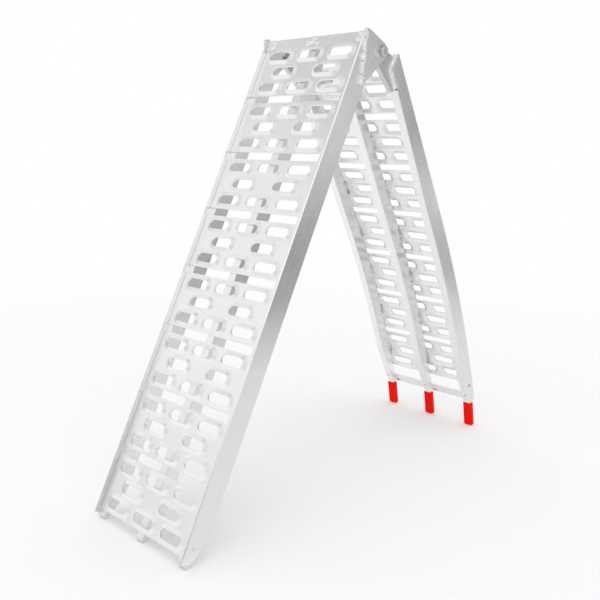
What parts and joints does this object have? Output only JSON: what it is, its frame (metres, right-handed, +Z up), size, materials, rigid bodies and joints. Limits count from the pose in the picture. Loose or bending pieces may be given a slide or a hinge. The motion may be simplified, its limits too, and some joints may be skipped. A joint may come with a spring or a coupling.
{
  "type": "folding loading ramp",
  "caption": "Folding aluminium loading ramp standing as an A-frame: straight ground section, arched tailgate section with padded fingers, hinged below the deck, with raised traction slots.",
  "frame": {"origin": "centre of the bounding box in X and Y, on the floor that the feet and the fingers stand on", "axes": "X across the ramp, Y along it from the ground end at -Y to the tailgate end at +Y, Z up"},
  "size_m": [0.314, 1.0692, 1.0097],
  "materials": {
    "rail": "mill finish extruded aluminium",
    "deck": "bright mill finish sheet with pressed slots",
    "weld": "rippled weld bead",
    "bar": "mill finish flat bar",
    "red_vinyl": "dipped red vinyl",
    "foot_plastic": "moulded grey plastic",
    "zinc": "zinc plated steel"
  },
  "bodies": {
    "ground_section": {"ground_rail_left": "rail", "ground_rail_centre": "rail", "ground_rail_right": "rail", "ground_panel_1": "deck", "ground_panel_2": "deck", "ground_panel_3": "deck", "ground_panel_4": "deck", "ground_panel_5": "deck", "ground_panel_6": "deck", "ground_panel_7": "deck", "ground_panel_8": "deck", "ground_hinge_strip": "rail", "hinge_ear_left": "rail", "hinge_ear_right": "rail", "foot_cap_left": "foot_plastic", "foot_cap_centre": "foot_plastic", "foot_cap_right": "foot_plastic", "foot_rivets": "zinc", "ground_panel_welds": "weld", "hinge_strip_welds": "weld", "hinge_ear_welds": "weld", "pivot_bolts": "zinc", "pivot_nuts": "zinc", "pivot_washers": "zinc"},
    "tailgate_section": {"tailgate_rail_left": "rail", "tailgate_rail_centre": "rail", "tailgate_rail_right": "rail", "tailgate_panel_1": "deck", "tailgate_panel_2": "deck", "tailgate_panel_3": "deck", "tailgate_panel_4": "deck", "tailgate_panel_5": "deck", "tailgate_panel_6": "deck", "tailgate_panel_7": "deck", "tailgate_end_strip": "rail", "hinge_lug_left": "rail", "hinge_lug_right": "rail", "finger_bar_left": "bar", "finger_bar_centre": "bar", "finger_bar_right": "bar", "finger_sleeve_left": "red_vinyl", "finger_sleeve_centre": "red_vinyl", "finger_sleeve_right": "red_vinyl", "finger_rivets": "zinc", "tailgate_panel_welds": "weld", "hinge_lug_welds": "weld"}
  },
  "joints": [
    {"name": "fold_hinge", "type": "hinge", "parent": "ground_section", "child": "tailgate_section", "pos_m": [0, -0.00324, 0.96874], "axis": [1, 0, 0], "range_deg": [-52, 123]}
  ]
}
